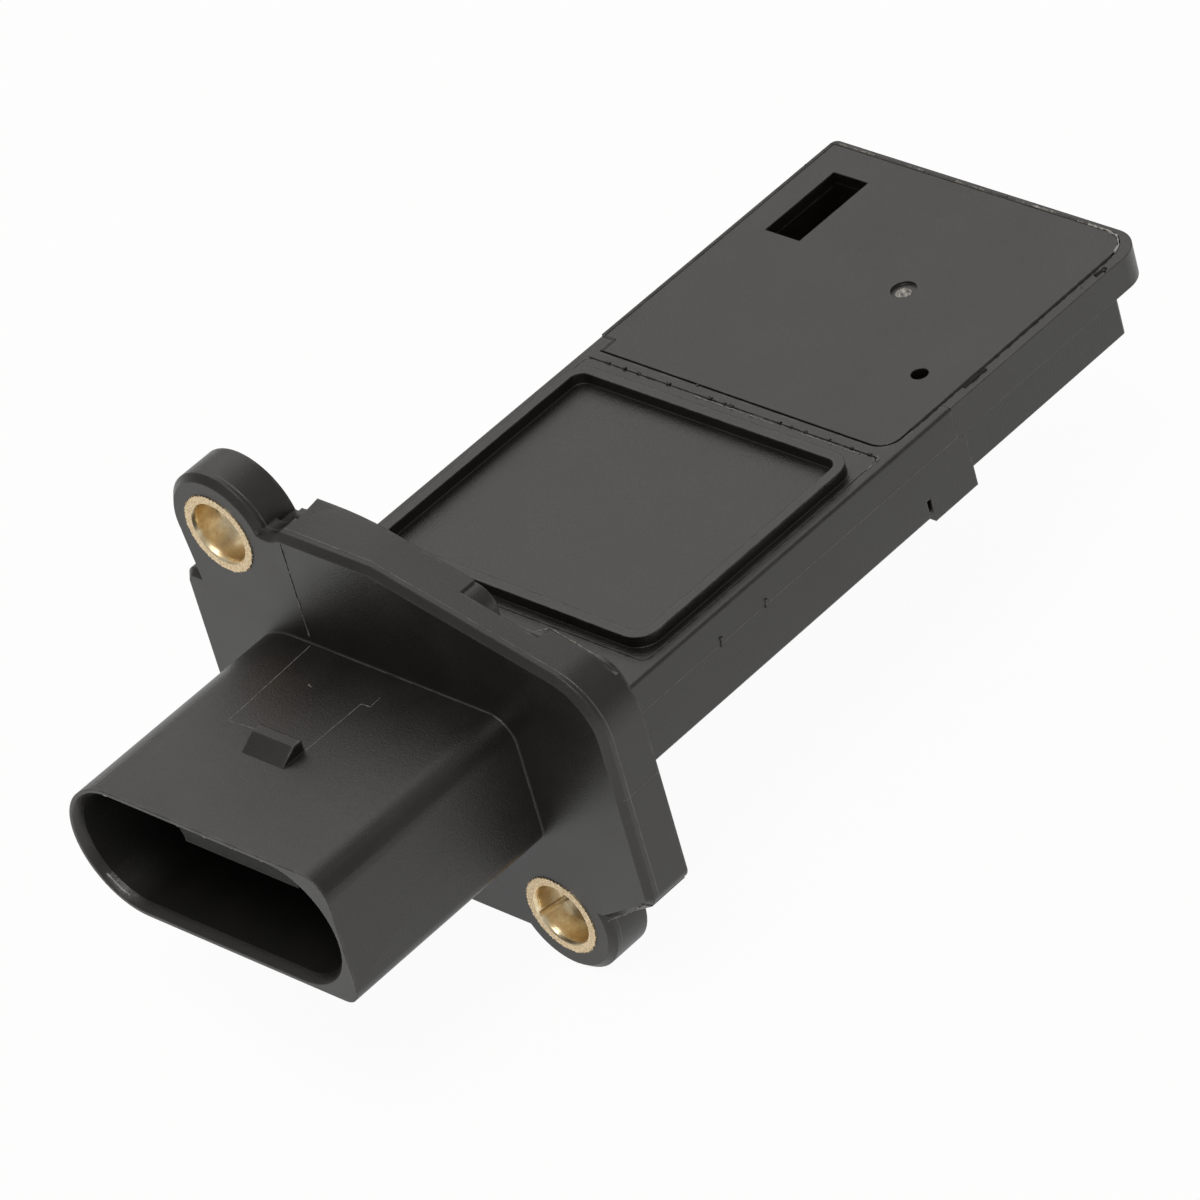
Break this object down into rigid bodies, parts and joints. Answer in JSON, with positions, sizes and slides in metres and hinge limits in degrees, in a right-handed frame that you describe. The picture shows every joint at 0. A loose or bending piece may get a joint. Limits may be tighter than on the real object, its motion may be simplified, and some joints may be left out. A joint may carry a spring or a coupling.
{
  "type": "mass airflow sensor",
  "caption": "Plug-in mass airflow sensor: a flat black plastic probe with a bonded lid and a bypass duct, on a two-bolt flange with a side-lying connector socket.",
  "frame": {"origin": "midway between the axes of the two bolt bushings, on the flange's seating face", "axes": "+Y the way the probe goes into the air duct, +Z the side with the lids, +X across the probe, towards the end of the flange with the lower bolt"},
  "size_m": [0.0588, 0.1197, 0.05],
  "materials": {
    "housing_plastic": "fine moulded texture",
    "seal_rubber": "smooth",
    "brass": "turned",
    "terminal_metal": "tin plated",
    "plate_metal": "satin",
    "board": "lacquered",
    "chip_package": "moulded",
    "ceramic": "fired",
    "silicon": "polished"
  },
  "bodies": {
    "root": {"housing": "housing_plastic", "channel_base": "housing_plastic", "flow_cover": "housing_plastic", "electronics_cover": "housing_plastic", "seal_ring": "seal_rubber", "upper_bushing": "brass", "lower_bushing": "brass", "terminal_1": "terminal_metal", "terminal_2": "terminal_metal", "terminal_3": "terminal_metal", "terminal_4": "terminal_metal", "terminal_5": "terminal_metal", "base_plate": "plate_metal", "circuit_board": "board", "control_chip": "chip_package", "regulator_chip": "chip_package", "capacitors": "ceramic", "resistors": "chip_package", "jumper_ribbons": "brass", "sensor_carrier": "plate_metal", "flow_sensing_chip": "silicon", "thermistor_chip": "ceramic"}
  },
  "joints": []
}
